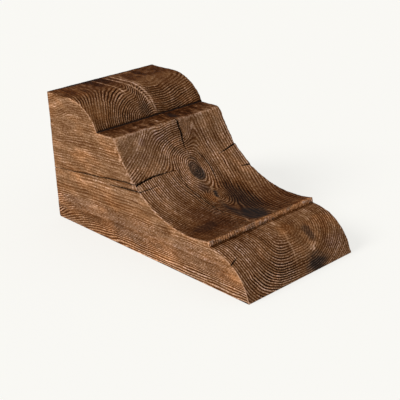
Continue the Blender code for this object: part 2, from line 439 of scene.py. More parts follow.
MOULDED_CRACKS = [
    Crack([(NEAR_UPPER_S, 0), (230, 5), (228, 20), (226.3, 35), (227.2, 50), (228, 73)],
          2.6, 4.4, stray=0.9),
    Crack([(NEAR_LOWER_S, 0), (241.3, 8), (242, 20), (240.5, 35)], 1.3, 2.4, dark=0.7),
    Crack([(156, 110), (164, 111), (172, 110), (180, 110.8), (190, 108.5), (202, 106), (220, 109.5)],
          3.8, 4.2, last=0.12, stray=0.7),
    Crack([(212, 122.5), (225, 126.8), (235, 128.2), (246, 127.2), (259, 124)], 1.5, 2.2, 0.2, 0.5),
    Crack([(222, 80), (243, 73), (262, 72.5), (290, 77), (330, 80.5), (368, 79)], 1.2, 1.1, 0.3, 0.3, 0.75),
    Crack([(NOSE_CRACK_S, 0), (422.5, 6), (418.5, 17)], 1.2, 2),
    Crack([(387, 80.5), (400, 81.5), (416, 86)], 1.1, 1.2, dark=0.6),
    Crack([(387, 63.5), (400, 63.5), (412, 68.5), (425, 76), (436, 83)], 1.1, 1.2, dark=0.5),
    Crack(far([(FAR_UPPER_S, 0), (221.5, 10), (224, 21), (227, 38)]), 2.4, 4.2),
    Crack(far([(FAR_LOWER_S, 0), (257, 11), (255.5, 22)]), 2.4, 4),
]


def on_side(s):
    """Where a crack that crosses the profile at s starts on a side."""
    x, z = PROFILE.at(s)[:2]
    return (float(x), float(z))


NEAR_CRACKS = [
    Crack([on_side(NEAR_UPPER_S), (165, 97), (140, 94), (120, 91), (90, 87), (70, 85), (50, 82), (20, 79),
           (0, POST_CRACK_Z)], 1.7, 3, last=0.45, dark=0.72),
    Crack([on_side(NEAR_LOWER_S), (180, 88.6), (160, 87), (140, 85), (114, 80.5)], 2.3, 3.6, dark=0.85),
]
FAR_CRACKS = [
    Crack([on_side(FAR_UPPER_S), (150, 97), (110, 92), (62, 88)], 1.8, 3),
    Crack([on_side(FAR_LOWER_S), (185, 74), (150, 71)], 1.6, 2.6),
]
END_CRACKS = [
    Crack([(0, POST_CRACK_Z), (18, 80), (36, 81), (60, 88), (82, 103)], 1.5, 2.8),
    Crack([(101, 124), (118, 140), (133, 149), (150, 166)], 1.7, 3, 0.25),
    Crack([(92, 112), (97, 90), (94, 64), (99, 40)], 1.6, 2.8, 0.25),
]


# Wear, and painted shade in the cracks

def arris_loss(s, side):
    """How much is worn off the moulded face's long edge at s, on the NEAR or the FAR side."""
    rough = 0.5 + 0.5 * mottle(s, 0 * s, 9, 1, side + ARRIS_SEED)
    ragged = between(s, LEDGE_EDGE + 3, 248, 12)
    knocked = bump(s, LEDGE_EDGE, 4.5)
    sharp = between(s, LIP_EDGE - 5, LIP_FOOT, 4)
    if side == FAR:
        above, below = FAR_UPPER_S - s, s - FAR_LOWER_S
        ragged = np.where(above > 0, 1.5 * np.exp(-np.abs(above) / 14), ragged * 0.2)
        ragged = np.where(below > 0, 1.7 * np.exp(-np.abs(below) / 12), ragged)
    loss = 0.25 + 0.95 * rough + ragged * (0.3 + 1.5 * rough**2) + 1.5 * knocked - 0.2 * sharp
    return loss * ease((TIP - s) / 8) * ease((s + 2) / 6)


def end_loss(t, seed):
    """How much is worn off an edge of the bearing end."""
    return 0.30 + 0.35 * (0.5 + 0.5 * noise(t, 0 * t, 7, 1, seed))


def rounding(gap, loss, reach=4):
    """How deep the wear of an edge goes, a little way in from it."""
    return loss * np.clip(1 - gap / (reach * (0.5 + 0.5 * loss)), 0, 1) ** 2


def crack_depth(cracks, u, v):
    return sum(crack.depth * crack.openness(u, v) for crack in cracks)


# Painted shade inside each crack and a little past its rims, from 0 to 1.
def crack_shade(cracks, u, v):
    dark = np.zeros(np.shape(u))
    for crack in cracks:
        dark = np.maximum(dark, 1.3 * crack.dark * crack.openness(u, v, reach=0.45))
    return np.clip(dark, 0, 1)


# The moulded face

# Where the rings stand out more or less than around: centre, half sizes and change, all in (s, t).
GRAIN_CHANGES = [
    (176, 16, 30, 40, -0.75), (180, 160, 26, 36, -0.55), (207, 36, 30, 40, -0.35),
    (58, 150, 28, 44, -0.75), (190, 86, 22, 22, 0.3), (300, 128, 40, 17, 0.6),
    (325, 73, 46, 10, 0.45), (338, 28, 40, 32, -0.3), (284, 34, 40, 34, -0.28),
    (330, 172, 50, 22, -0.38), (240, 172, 34, 20, -0.35), (100, 14, 28, 20, -0.6),
    (456, 52, 22, 34, 0.35), (408, 108, 26, 34, -0.68), (438, 128, 30, 34, -0.38),
    (398, 160, 14, 30, -0.5), (435, 168, 22, 20, -0.15),
]
# Darker places, warmer places and, in the cove, cooler ones: centre, half sizes, strength.
DARKER = [
    (6, 76, 34, 19, 1.8), (28, 158, 22, 30, 0.5), (137, 86, 14, 26, 0.6),
    (138, 156, 14, 36, 0.5), (143, 116, 15, 10, 1.3), (408, 108, 22, 26, 0.45),
    (430, 160, 40, 40, 0.18), (338, 34, 17, 36, 0.55), (306, 131, 46, 21, 1.05),
    (290, 36, 46, 42, 0.2),
]
WARMER = [
    (25, 22, 34, 20, 0.8), (285, 91, 17, 8, 0.9), (417, 172, 16, 22, 0.5),
    (408, 106, 12, 13, 0.3),
]
COOLER_COVE = [
    (340, 38, 38, 46, 0.7), (285, 34, 36, 36, 0.3),
]
# Places where the brown turns cooler and slightly purple.
PURPLISH = [
    (183, 128, 9, 9, 1), (177, 68, 8, 8, 1), (178, 42, 7, 6, 1),
    (267, 92, 9, 7, 1), (452, 165, 12, 18, 1),
]
# Darker blue-black stains: centre, half sizes, strength.
STAINS = [
    (318, 126, 50, 18, 0.6), (353, 108, 25, 22, 1), (336, 94, 34, 9, 0.85),
    (112, 91, 12, 9, 0.5), (428, 138, 15, 8, 0.7), (468, 128, 13, 19, 1),
    (143, 117, 13, 7, 0.6), (337, 36, 10, 24, 0.38), (270, 95, 12, 8, 0.5),
]
# Lighter streaks: path, half width, strength.
STREAKS = [
    ([(0, 105), (60, 107), (95, 109), (125, 107)], 1.3, 1.3),
    ([(0, 94), (60, 97), (95, 103), (125, 104)], 1.1, 1.1),
    ([(20, 111), (60, 112), (84, 113)], 0.9, 0.6),
    ([(0, 74), (40, 75.5), (82, 78)], 1.1, 0.8),
    ([(100, 62), (112, 67), (122, 70)], 0.9, 0.35),
    ([(330, 98), (350, 90), (373, 79)], 0.8, 0.45),
    ([(296, 112), (304, 104), (306, 96), (300, 88)], 0.8, 0.35),
    ([(409, 105), (430, 98), (442, 97), (458, 93)], 1, 0.5),
    ([(443, 140), (446, 133), (452, 128)], 1.6, 0.9),
    ([(440, 134), (445, 128), (450, 124)], 1, 0.7),
]
# The dark tail of the knot, and the dark and the light line of the small one.
KNOT_TAIL = [(216, 107), (224, 112.5), (232, 113.5), (240, 111)]
SMALL_KNOT_DARK = [(277, 103.5), (282, 103), (288.5, 100), (291, 98)]
SMALL_KNOT_LIGHT = [(272, 105), (276, 100.5), (284, 97), (292, 95.5), (297, 98.5)]


def moulded_grain(s, t):
    """How strongly the rings stand out."""
    grain = by_stretch(s, 0.20 + 0.52 * ease((s - 42) / 30), 0.42, 0.66, 0.9, 0.68)
    grain = grain * (1 + 0.45 * mottle(s, t, 24, 16, 91))
    for *where, change in GRAIN_CHANGES:
        grain *= 1 + change * patch(s, t, *where)
    grain -= 0.5 * ease((s - 308) / 16) * ease((LIP_EDGE - s) / 4) * bump(t, SMALL_KNOT[1], 9)
    return np.clip(grain, 0.08, 1.2)


def moulded_depth(s, t):
    """How deep the moulded face is carved and worn."""
    depth = RING_DEPTH * moulded_grain(s, t) * (1 - ridge(moulded_rings(s, t)))
    depth += 0.25 * (1 + mottle(s, t, 60, 45, 95)) * ease(s / 8) * ease((TIP - s) / 8)
    depth += 1.1 * patch(s, t, *KNOT, 17, 12, rough=0.1)
    depth += 2 * bump(np.hypot(s - SMALL_KNOT_HOLE[0], t - SMALL_KNOT_HOLE[1]), 0, 2.4)
    depth += 0.9 * bump(s, LEDGE_EDGE, 2.6) * (1 + 0.5 * noise(s, t, 4, 6, 97))
    depth += 0.5 * bump(s, LIP_EDGE, 1.8) * (1 + 0.6 * noise(s, t, 2, 3, 98))
    chipped = between(s, NEAR_UPPER_S, NEAR_LOWER_S, 3) * ease((13 - t) / 10)
    depth += 1.3 * chipped * (0.6 + 0.4 * noise(s, t, 3, 2.2, 99))
    depth += rounding(t, arris_loss(s, NEAR)) + rounding(WIDTH - t, arris_loss(s, FAR))
    depth += rounding(s, end_loss(t, TOP_EDGE_SEED))
    depth += crack_depth(MOULDED_CRACKS, s, t)
    return np.maximum(depth, 0) * ease(TIP - s)


def moulded_tone(s, t):
    """How much lighter (above 0) or darker the timber is drawn, in doublings of its lightness, painted shade
    included.
    """
    ledge = (s > OVOLO_FOOT) * (s < LEDGE_EDGE)
    cove = 0.20 - 1.5 * ease((s - 245) / 105)
    tone = by_stretch(s, -1.1 + 0.68 * ease((s - 40) / 40), -0.95, cove, 0.45, -0.08)
    tone = tone + 0.22 * mottle(s, t, 46, 30, 101) + 0.22 * mottle(s, t, 26, 5, 104)
    tone += 0.16 * mottle(s, t, 8, 8, 103)
    flat = np.maximum(ease((60 - s) / 25), ledge)
    tone += flat * (0.95 * mottle(s, t, 26, 6, 105) + 0.85 * mottle(s, t, 8, 7, 107) - 0.22)
    tone += ledge * (0.9 * noise(s, t, 3.2, 3.2, 108) - 0.05)
    # The darker places, and a dark line of painted shade along the crown's rear edge.
    tone -= patches(s, t, DARKER) + 3 * bump(s, 0, 2.6)
    # Painted shade: a dark line in the crease at the ovolo's foot, and a darker band on the ledge beside it.
    tone -= 1.2 * bump(s, OVOLO_FOOT - 0.6, 1.5) + 0.5 * between(s, OVOLO_FOOT, OVOLO_FOOT + 10, 8)
    # Painted shadow: a dark line under the lip where the nose begins, and a darker band on the nose below
    # it.
    tone -= 1.3 * bump(s, LIP_FOOT + 1.2, 2.2) * (0.65 + 0.35 * ease((90 - t) / 20))
    return tone - 0.35 * between(s, LIP_FOOT, LIP_FOOT + 12, 9) * ease((95 - t) / 30)


def moulded_warm(s, t):
    """How much warmer (above 0) or cooler the brown is."""
    warm = 0.35 * mottle(s, t, 38, 30, 111) + patches(s, t, WARMER) - patches(s, t, PURPLISH)
    warm -= patches(s, t, COOLER_COVE) * ease((LIP_EDGE - s) / 6)
    warm += 0.6 * between(s, LIP_EDGE - 14, LIP_EDGE, 10) * ease((t - 140) / 30)
    warm += 1.1 * between(s, LIP_EDGE - 3, LIP_FOOT + 1, 2) * (0.8 + noise(s, t, 3, 6, 112))
    warm -= 0.45 * (s > OVOLO_FOOT) * (s < LEDGE_EDGE) + 0.25 * ease((60 - s) / 25)
    return warm - 0.25 * between(s, 300, LIP_EDGE - 4, 20)


def knot_radius(s, t):
    """The uneven distance from the middle of the knot's eye."""
    return np.hypot((s - KNOT_EYE[0]) / 1.5, t - KNOT_EYE[1]) + 1.3 * mottle(s, t, 9, 7, 117)


def moulded_stain_and_shade(s, t):
    """Blue-black stains, the knot's eye, and painted shade: dark lines at the crown's rear and the ovolo's
    foot.
    """
    stain_and_shade = np.zeros(np.shape(s))
    for *where, strength in STAINS:
        stain_and_shade = np.maximum(stain_and_shade, strength * patch(s, t, *where))
    stain_and_shade *= 1 - 0.85 * between(s, 373, 470, 5) * (s < LIP_FOOT)
    eye = knot_radius(s, t)
    fine = 0.5 + 0.5 * np.cos(2 * math.pi * eye / 3.1)
    eye_dark = ease((11.6 - eye) / 2.2) * (1 - 0.20 * fine)
    eye_dark *= 0.86 + 0.14 * ease((s - 232) / 8 + (t - 104) / 12)
    # How far the painted shade along the crown's rear edge reaches in.
    rear = 2.4 + 4.6 * ease((98 - t) / 24) * ease(t / 40)
    for more in (
        eye_dark,
        0.6 * streak(s, t, KNOT_TAIL, 2.4),
        # Painted shade along the crown's rear edge, then in the crease at the ovolo's foot.
        1.3 * bump(s, 0, rear) * (0.8 + 0.4 * noise(s, t, 2, 12, 118)),
        1.1 * bump(s, OVOLO_FOOT, 1.5),
        1.3 * streak(s, t, SMALL_KNOT_DARK, 2.4),
    ):
        stain_and_shade = np.maximum(stain_and_shade, more)
    return np.clip(stain_and_shade, 0, 1)


def moulded_worn(s, t):
    """Pale places: worn edges, bruises and streaks."""
    worn = 0.85 * bump(s, LEDGE_EDGE - 0.4, 2.8) * (0.65 + 0.6 * noise(s, t, 3, 4, 121))
    worn = worn + bump(s, LIP_EDGE + 1, 3) * (0.55 + 0.75 * noise(s, t, 2, 4.6, 122))
    edge = bump(t, 0, 0.6 + 0.6 * arris_loss(s, NEAR)) * (1 + 0.5 * noise(s, t, 3, 9, 123))
    worn += edge * ease((s - 40) / 20)
    worn += 0.45 * between(s, NEAR_UPPER_S, NEAR_LOWER_S, 2) * ease((13 - t) / 9)
    worn += 0.5 * streak(s, t, SMALL_KNOT_LIGHT, 0.9)
    eye = knot_radius(s, t)
    worn += 0.4 * bump(eye, 3.4, 0.7071) + 0.3 * bump(eye, 6.2, 0.6325) * ease((236 - s) / 6)
    for path, width, strength in STREAKS:
        worn += strength * streak(s, t, path, width) * (0.8 + 0.7 * noise(s, t, 4.5, 1.6, 124))
    return np.clip(worn, 0, 1)


def moulded_looks(s, t):
    """The looks of the moulded face: each a number at each point, which the material reads."""
    return {
        "rings": moulded_rings(s, t),
        "grain": moulded_grain(s, t),
        "tone": moulded_tone(s, t),
        "warm": moulded_warm(s, t),
        "stain_and_shade": moulded_stain_and_shade(s, t),
        "worn": moulded_worn(s, t),
        "crack": crack_shade(MOULDED_CRACKS, s, t),
    }


# The sides, the bearing end and the back

def edge_gap(x, z):
    """The distance from each point of a side to the profile, and the s of the place nearest to it."""
    coarse = np.arange(0, len(PROFILE.s), 3)
    gap = np.empty(len(x))
    at_s = np.empty(len(x))
    for start in range(0, len(x), 4000):
        part = slice(start, start + 4000)
        gaps = np.hypot(x[part, None] - PROFILE.x[coarse], z[part, None] - PROFILE.z[coarse])
        best = gaps.argmin(axis=1)
        gap[part] = gaps[np.arange(len(best)), best]
        at_s[part] = PROFILE.s[coarse[best]]
    return gap, at_s


def side_depth(x, z, cracks, seed):
    gap, at_s = edge_gap(x, z)
    calm = ease(gap / 3) * ease(z / 2.5) * ease(x / 2.5)
    depth = SIDE_RING_DEPTH * (1 - ridge(side_rings(x, z, seed))) * calm
    depth += 0.22 * (1 + mottle(x, z, 70, 16, seed + 3)) * calm
    depth += rounding(gap, arris_loss(at_s, seed))
    depth += rounding(z, 0.35, 3) + rounding(x, end_loss(z, seed + POST_SEED), 3)
    return np.maximum(depth, 0) + crack_depth(cracks, x, z)


def side_looks(x, z, cracks, seed):
    gap, at_s = edge_gap(x, z)
    tone = 0.12 + 0.10 * mottle(x, z, 90, 20, seed + 11) + 0.26 * mottle(x, z, 36, 3.6, seed + 12)
    tone -= 0.14 * ease((z - 85) / 40)
    tone += 0.14 * mottle(x, z, 9, 6, seed + 16)
    tone -= 0.35 * patch(x, z, 70, 18, 70, 20, rough=0.2)
    for z0, reach in ((45, 1.1), (50.5, 1), (55, 1.2)):
        tone -= 0.55 * bump(z, z0 + 0.05 * (x - 90), reach) * between(x, 90, 165, 26)
    tone -= 0.55 * patch(x, z, 243, 48, 12, 9)
    tone += (0.28 * bump(x, 250, 3.5) + 0.20 * bump(x, 313, 3)) * ease((46 - z) / 18)
    warm = 0.20 + 0.40 * mottle(x, z, 60, 22, seed + 13)
    warm += 0.4 * patch(x, z, 360, 30, 30, 22) - 0.3 * patch(x, z, 172, 112, 16, 18)
    worn = 1.2 * bump(gap, 0, 0.7 + 0.7 * arris_loss(at_s, seed)) * ease((at_s - 40) / 20)
    flecks = ease(2.5 * noise(x, z, 2.6, 3.4, seed + 17))
    chips = ease((11 - gap) / 8) * between(at_s, 170, 238, 14)
    worn += 0.9 * flecks * chips
    tone -= 0.9 * (1 - flecks) * chips * (0.7 + 0.6 * noise(x, z, 4, 4, seed + 18))
    worn += 0.40 * patch(x, z, 371, 27, 9, 5) + 0.25 * patch(x, z, 366, 36, 14, 6)
    grain = 0.25 + 0.42 * ease((62 - z) / 30)
    return {
        "rings": side_rings(x, z, seed),
        "grain": np.clip(grain + 0.24 * mottle(x, z, 50, 12, seed + 14), 0.06, 1),
        "tone": tone,
        "warm": warm,
        "stain_and_shade": 0,
        "worn": np.clip(worn * (0.8 + 0.4 * noise(x, z, 3, 3, seed + 15)), 0, 1),
        "crack": crack_shade(cracks, x, z),
    }


def end_depth(t, z):
    gap = np.minimum(np.minimum(t, WIDTH - t), np.minimum(z, HEIGHT - z))
    depth = 0.22 * (1 - ridge(end_rings(t, z))) * ease(gap / 3)
    depth += rounding(t, end_loss(z, NEAR + POST_SEED), 3)
    depth += rounding(WIDTH - t, end_loss(z, FAR + POST_SEED), 3)
    depth += rounding(HEIGHT - z, end_loss(t, TOP_EDGE_SEED)) + rounding(z, 0.3, 3)
    return np.maximum(depth, 0) + crack_depth(END_CRACKS, t, z)


def end_looks(t, z):
    across, up = t - OVOLO_PITH[1], z - END_PITH_HEIGHT
    rays = noise(np.arctan2(up, across) * 40, np.hypot(across, up), 1, 40, 53)
    return {
        "rings": end_rings(t, z),
        "grain": 0.40 + 0.16 * mottle(t, z, 40, 40, 54),
        "tone": -0.2 + 0.22 * mottle(t, z, 45, 45, 55) + 0.14 * rays,
        "warm": 0.3 + 0.3 * mottle(t, z, 40, 40, 56),
        "stain_and_shade": 0.45 * patch(t, z, 97, END_PITH_HEIGHT, 16, 14),
        "worn": 0,
        "crack": crack_shade(END_CRACKS, t, z),
    }


def back_looks(x, t):
    return {
        "rings": back_rings(x, t),
        "grain": 0.40,
        "tone": -0.1 + 0.22 * mottle(x, t, 80, 16, 65),
        "warm": 0.3 + 0.3 * mottle(x, t, 60, 30, 66),
        "stain_and_shade": 0,
        "worn": 0,
        "crack": 0,
    }


# The mesh

@dataclass
class Face:
    """One face of the block: how its coordinates map to space, and what is carved and seen there."""
    place: Callable
    normal: Callable
    depth: Callable
    looks: Callable
    outline: np.ndarray
    inside: np.ndarray
    cracks: list
    flipped: bool
    lines: tuple = ()


def lattice(u_range, v_range, mesh):
    """Staggered points over a rectangle, none of them on its border."""
    columns = max(1, round((u_range[1] - u_range[0]) / mesh[0]))
    rows = max(1, round((v_range[1] - v_range[0]) / mesh[1]))
    step_u, step_v = (u_range[1] - u_range[0]) / columns, (v_range[1] - v_range[0]) / rows
    points = []
    for j in range(1, rows):
        shift = 0.25 if j % 2 else 0.75
        u = u_range[0] + step_u * (np.arange(columns) + shift)
        points.append(np.stack([u, np.full(columns, v_range[0] + step_v * j)], 1))
    return np.concatenate(points)


def onto_rings(points, rings, longest):
    """Moves points across the grain onto the nearest of the lines that the carving needs."""
    reach = 0.15
    u, v = points.T
    for _ in range(2):
        phase = rings(u, v)
        slope_u = (rings(u + reach, v) - rings(u - reach, v)) / (2 * reach)
        slope_v = (rings(u, v + reach) - rings(u, v - reach)) / (2 * reach)
        steep = slope_u**2 + slope_v**2
        needed = (np.round(phase * STEPS_PER_RING) / STEPS_PER_RING - phase) / np.maximum(steep, 1e-6)
        length = np.abs(needed) * np.sqrt(steep)
        needed = np.where(length < longest, needed, 0)
        u, v = u + slope_u * needed, v + slope_v * needed
    return np.stack([u, v], 1)


def fill(u_range, v_range, mesh, margin, rings=None, shift=0):
    """Mesh points over a rectangle, on the ring lines where there are any, and clear of its border."""
    points = lattice(u_range, v_range, mesh)
    if rings:
        points = onto_rings(points, rings, shift)
    low = np.array([u_range[0], v_range[0]]) + margin
    high = np.array([u_range[1], v_range[1]]) - margin
    return points[((points > low) & (points < high)).all(1)]


class Spaced:
    """Points in square cells, so that it is quick to see whether a place is at least gap away from them."""

    def __init__(self, gap, points=()):
        self.gap, self.cells = gap, {}
        for point in points:
            self.add(point)

    def cell(self, point):
        return int(point[0] // self.gap), int(point[1] // self.gap)

    def add(self, point):
        self.cells.setdefault(self.cell(point), []).append(point)

    def has_room(self, point):
        i, j = self.cell(point)
        around = [(i + a, j + b) for a in (-1, 0, 1) for b in (-1, 0, 1)]
        near = (other for cell in around for other in self.cells.get(cell, ()))
        return all(math.dist(point, other) >= self.gap for other in near)


def clear_of(points, others, gap):
    """The points that are at least gap away from all the others."""
    others = Spaced(gap, others)
    return points[[others.has_room(point) for point in points]]


def thinned(points, gap):
    """Drops each point that is closer than gap to one kept before it."""
    kept, so_far = [], Spaced(gap)
    for point in points:
        if so_far.has_room(point):
            kept.append(point)
            so_far.add(point)
    return np.array(kept)


def seam(start, end, step, extra=()):
    """Places along an edge, step apart, that include each of extra and make room for it."""
    places = np.linspace(start, end, max(2, round((end - start) / step)) + 1)
    extra = np.array([value for value in extra if start < value < end])
    for value in extra:
        places = places[(np.abs(places - value) > SEAM_GAP) | (places == start) | (places == end)]
    return np.unique(np.concatenate([places, extra]))


def with_rims(*centres):
    return [value for centre in centres for value in (centre - RIM, centre, centre + RIM)]


def loop(*edges):
    """One closed outline from edges laid end to end, each shared corner kept once."""
    return np.concatenate([edge[:-1] for edge in edges])


def line(u, v):
    return np.stack(np.broadcast_arrays(np.asarray(u, float), np.asarray(v, float)), 1)


def space(x, t, z):
    """Points in space from x, t and z."""
    return np.stack(np.broadcast_arrays(x - LENGTH / 2, t - WIDTH / 2, z), 1)


def facing(x, y, z):
    """The same outward normal at every point."""
    return lambda u, v: np.stack(np.broadcast_arrays(x + 0 * u, y, z), 1)


def seams():
    """The places along every edge of the block, shared by the two faces that meet there."""
    near = CREASES + with_rims(NEAR_UPPER_S, NEAR_LOWER_S, NOSE_CRACK_S)
    far = CREASES + with_rims(FAR_UPPER_S, FAR_LOWER_S)
    return {
        "near": seam(0, TIP, SEAM_STEP, near),
        "far": seam(0, TIP, SEAM_STEP, far),
        "across": seam(0, WIDTH, SEAM_STEP),
        "end_foot": seam(0, WIDTH, FOOT_STEP),
        "foot": seam(0, LENGTH, FOOT_STEP),
        "near_post": seam(0, HEIGHT, POST_STEP, with_rims(POST_CRACK_Z)),
        "far_post": seam(0, HEIGHT, POST_STEP),
    }


def moulded_face(edges):
    outline = loop(
        line(edges["near"], 0), line(TIP, edges["across"]),
        line(edges["far"][::-1], WIDTH), line(0, edges["across"][::-1]),
    )
    stops = [0, CROWN_END - 4, OVOLO_FOOT, LEDGE_EDGE, KNOT[0] + 12, LIP_EDGE, LIP_FOOT, TIP]
    meshes = [ALONG_GRAIN, FINE, ALONG_GRAIN, FINE, ALONG_GRAIN, FINE, FINE]
    inside = np.concatenate([
        fill((start, end), (0, WIDTH), mesh, MOULDED_MARGIN, moulded_rings, MOULDED_SHIFT)
        for start, end, mesh in zip(stops, stops[1:], meshes)
    ])

    def place(s, t):
        x, z = PROFILE.at(s)[:2]
        return space(x, t, z)

    def normal(s, t):
        normal_x, normal_z = PROFILE.at(s)[2:]
        return np.stack([normal_x, 0 * t, normal_z], 1)

    lines = tuple(line(s, edges["across"][1:-1]) for s in CREASES)
    return Face(place, normal, moulded_depth, moulded_looks, outline, inside, MOULDED_CRACKS, False, lines)


def side_face(edges, name, cracks):
    seed, t, out = (NEAR, 0, -1) if name == "near" else (FAR, WIDTH, 1)
    x, z = PROFILE.at(edges[name])[:2]
    outline = loop(line(edges["foot"], 0), line(x[::-1], z[::-1]), line(0, edges[name + "_post"][::-1]))

    def rings(x, z):
        return side_rings(x, z, seed)

    inside = fill((0, LENGTH), (0, HEIGHT), SIDE_MESH, SIDE_MARGIN, rings, SIDE_SHIFT)
    under = inside[:, 1] < PROFILE.at(PROFILE.s_at(inside[:, 0]))[1]
    inside = inside[under & (edge_gap(*inside.T)[0] > PROFILE_MARGIN)]
    return Face(
        lambda x, z: space(x, t, z),
        facing(0, out, 0),
        lambda x, z: side_depth(x, z, cracks, seed),
        lambda x, z: side_looks(x, z, cracks, seed),
        outline, inside, cracks, out > 0,
    )


def end_face(edges):
    outline = loop(
        line(edges["end_foot"], 0), line(WIDTH, edges["far_post"]),
        line(edges["across"][::-1], HEIGHT), line(0, edges["near_post"][::-1]),
    )
    inside = fill((0, WIDTH), (0, HEIGHT), END_MESH, END_MARGIN, end_rings, END_SHIFT)
    return Face(lambda t, z: space(0, t, z), facing(-1, 0, 0), end_depth, end_looks,
                outline, inside, END_CRACKS, True)


def back_face(edges):
    outline = loop(
        line(edges["foot"], 0), line(LENGTH, edges["across"]),
        line(edges["foot"][::-1], WIDTH), line(0, edges["end_foot"][::-1]),
    )
    inside = fill((0, LENGTH), (0, WIDTH), BACK_MESH, BACK_MARGIN)
    return Face(lambda x, t: space(x, t, 0), facing(0, 0, -1), lambda x, t: 0 * x, back_looks,
                outline, inside, [], True)


class Block:
    """Gathers the faces into one closed mesh."""

    def __init__(self):
        self.places, self.carving, self.triangles, self.looks = [], [], [], {}
        self.shared = {}
        self.count = 0

    def number_of(self, place):
        """The vertex at a place on an edge, made when first asked for."""
        key = tuple(np.round(place, 3))
        if key not in self.shared:
            self.shared[key] = self.count
            self.add(place[None])
        return self.shared[key]

    def add(self, places):
        self.places.append(places)
        self.count += len(places)

    def add_face(self, face):
        inside = face.inside
        crack_points = [crack.mesh_points() for crack in face.cracks]
        fixed = [*face.lines, *crack_points]
        if fixed:
            inside = clear_of(inside, np.concatenate(fixed), CRACK_MARGIN)
        if crack_points:
            borders = np.concatenate([face.outline, *face.lines])
            crack_points = clear_of(np.concatenate(crack_points), borders, CRACK_END_MARGIN)
            inside = np.concatenate([inside, thinned(crack_points, CRACK_GAP)])
        inside = inside[within(inside, face.outline)]
        ring = len(face.outline)
        points = np.concatenate([face.outline, *face.lines, inside])
        ties = [(i, (i + 1) % ring) for i in range(ring)]
        start = ring
        for path in face.lines:
            ties += [(i, i + 1) for i in range(start, start + len(path) - 1)]
            start += len(path)
        made = delaunay_2d_cdt([Vector(point) for point in points], ties, [], INSIDE_ONLY, NEARNESS)
        used = np.array([sources[0] for sources in made[3]])
        triangles = used[np.array([list(triangle) for triangle in made[2]])]
        if face.flipped:
            triangles = triangles[:, ::-1]

        u, v = points.T
        places = face.place(u, v)
        numbers = np.empty(len(points), int)
        for i in range(ring):
            numbers[i] = self.number_of(places[i])
        numbers[ring:] = self.count + np.arange(len(points) - ring)
        self.add(places[ring:])
        self.triangles.append(numbers[triangles])
        self.carving.append((numbers, -face.normal(u, v) * face.depth(u, v)[:, None]))
        for name, values in face.looks(u, v).items():
            self.looks.setdefault(name, []).append(np.broadcast_to(values, u.shape)[triangles].ravel())

    def mesh(self, name):
        places = np.concatenate(self.places)
        for numbers, moves in self.carving:
            np.add.at(places, numbers, moves)
        triangles = np.concatenate(self.triangles)
        mesh = bpy.data.meshes.new(name)
        mesh.from_pydata((places * MM).tolist(), [], triangles.tolist())
        mesh.update()
        for look, parts in self.looks.items():
            layer = mesh.attributes.new(look, "FLOAT", "CORNER")
            layer.data.foreach_set("value", np.concatenate(parts).astype(np.float32))
        mesh.shade_smooth()
        mesh.set_sharp_from_angle(angle=SMOOTH_ANGLE)
        return mesh


def within(points, outline):
    """Which points lie inside a closed outline."""
    inside = np.zeros(len(points), bool)
    for a, b in zip(outline, np.roll(outline, -1, axis=0)):
        if a[1] == b[1]:
            continue
        crosses = (a[1] > points[:, 1]) != (b[1] > points[:, 1])
        at = a[0] + (points[:, 1] - a[1]) / (b[1] - a[1]) * (b[0] - a[0])
        inside ^= crosses & (points[:, 0] < at)
    return inside


def placed(name, data):
    """A new object in the scene."""
    thing = bpy.data.objects.new(name, data)
    bpy.context.collection.objects.link(thing)
    return thing


def make_corbel(material):
    edges = seams()
    block = Block()
    block.add_face(moulded_face(edges))
    block.add_face(side_face(edges, "near", NEAR_CRACKS))
    block.add_face(side_face(edges, "far", FAR_CRACKS))
    block.add_face(end_face(edges))
    block.add_face(back_face(edges))
    mesh = block.mesh("corbel_timber")
    mesh.materials.append(material)
    corbel = placed("corbel_timber", mesh)
    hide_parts("corbel")
    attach(corbel, "root")


# Materials

